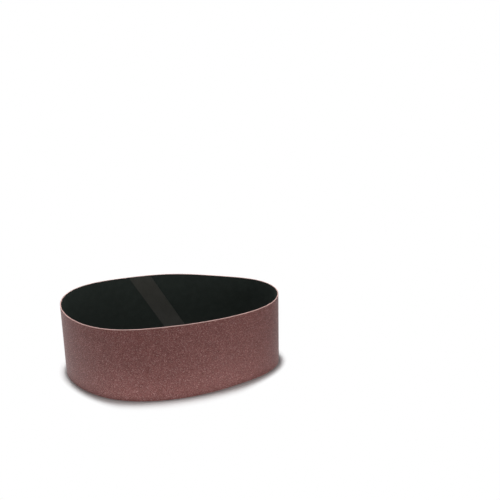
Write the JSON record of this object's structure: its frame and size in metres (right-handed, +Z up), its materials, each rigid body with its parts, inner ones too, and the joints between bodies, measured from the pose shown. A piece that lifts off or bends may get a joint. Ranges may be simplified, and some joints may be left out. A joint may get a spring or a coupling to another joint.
{
  "type": "sanding belt",
  "caption": "Cloth-backed sanding belt standing on edge as an open egg-shaped loop, red-brown grain outside, dark backing inside, with a slanting taped butt splice.",
  "frame": {"origin": "middle of the loop's bounding box in plan, on the floor that the belt's lower edge stands on", "axes": "+Z up, along the belt's width; +X along the longest way of the loop, towards its narrower end; -Y towards the front wall, away from the splice"},
  "size_m": [0.2148, 0.121, 0.0762],
  "materials": {
    "abrasive_cloth": "red-brown aluminium oxide grain with a soft sheen on the outside, dark green-black cloth on the inside, pale cut edges",
    "splice_film": "thin dull dark film tape with fine reinforcing threads"
  },
  "bodies": {
    "root": {"abrasive_belt": "abrasive_cloth", "splice_tape": "splice_film"}
  },
  "joints": []
}
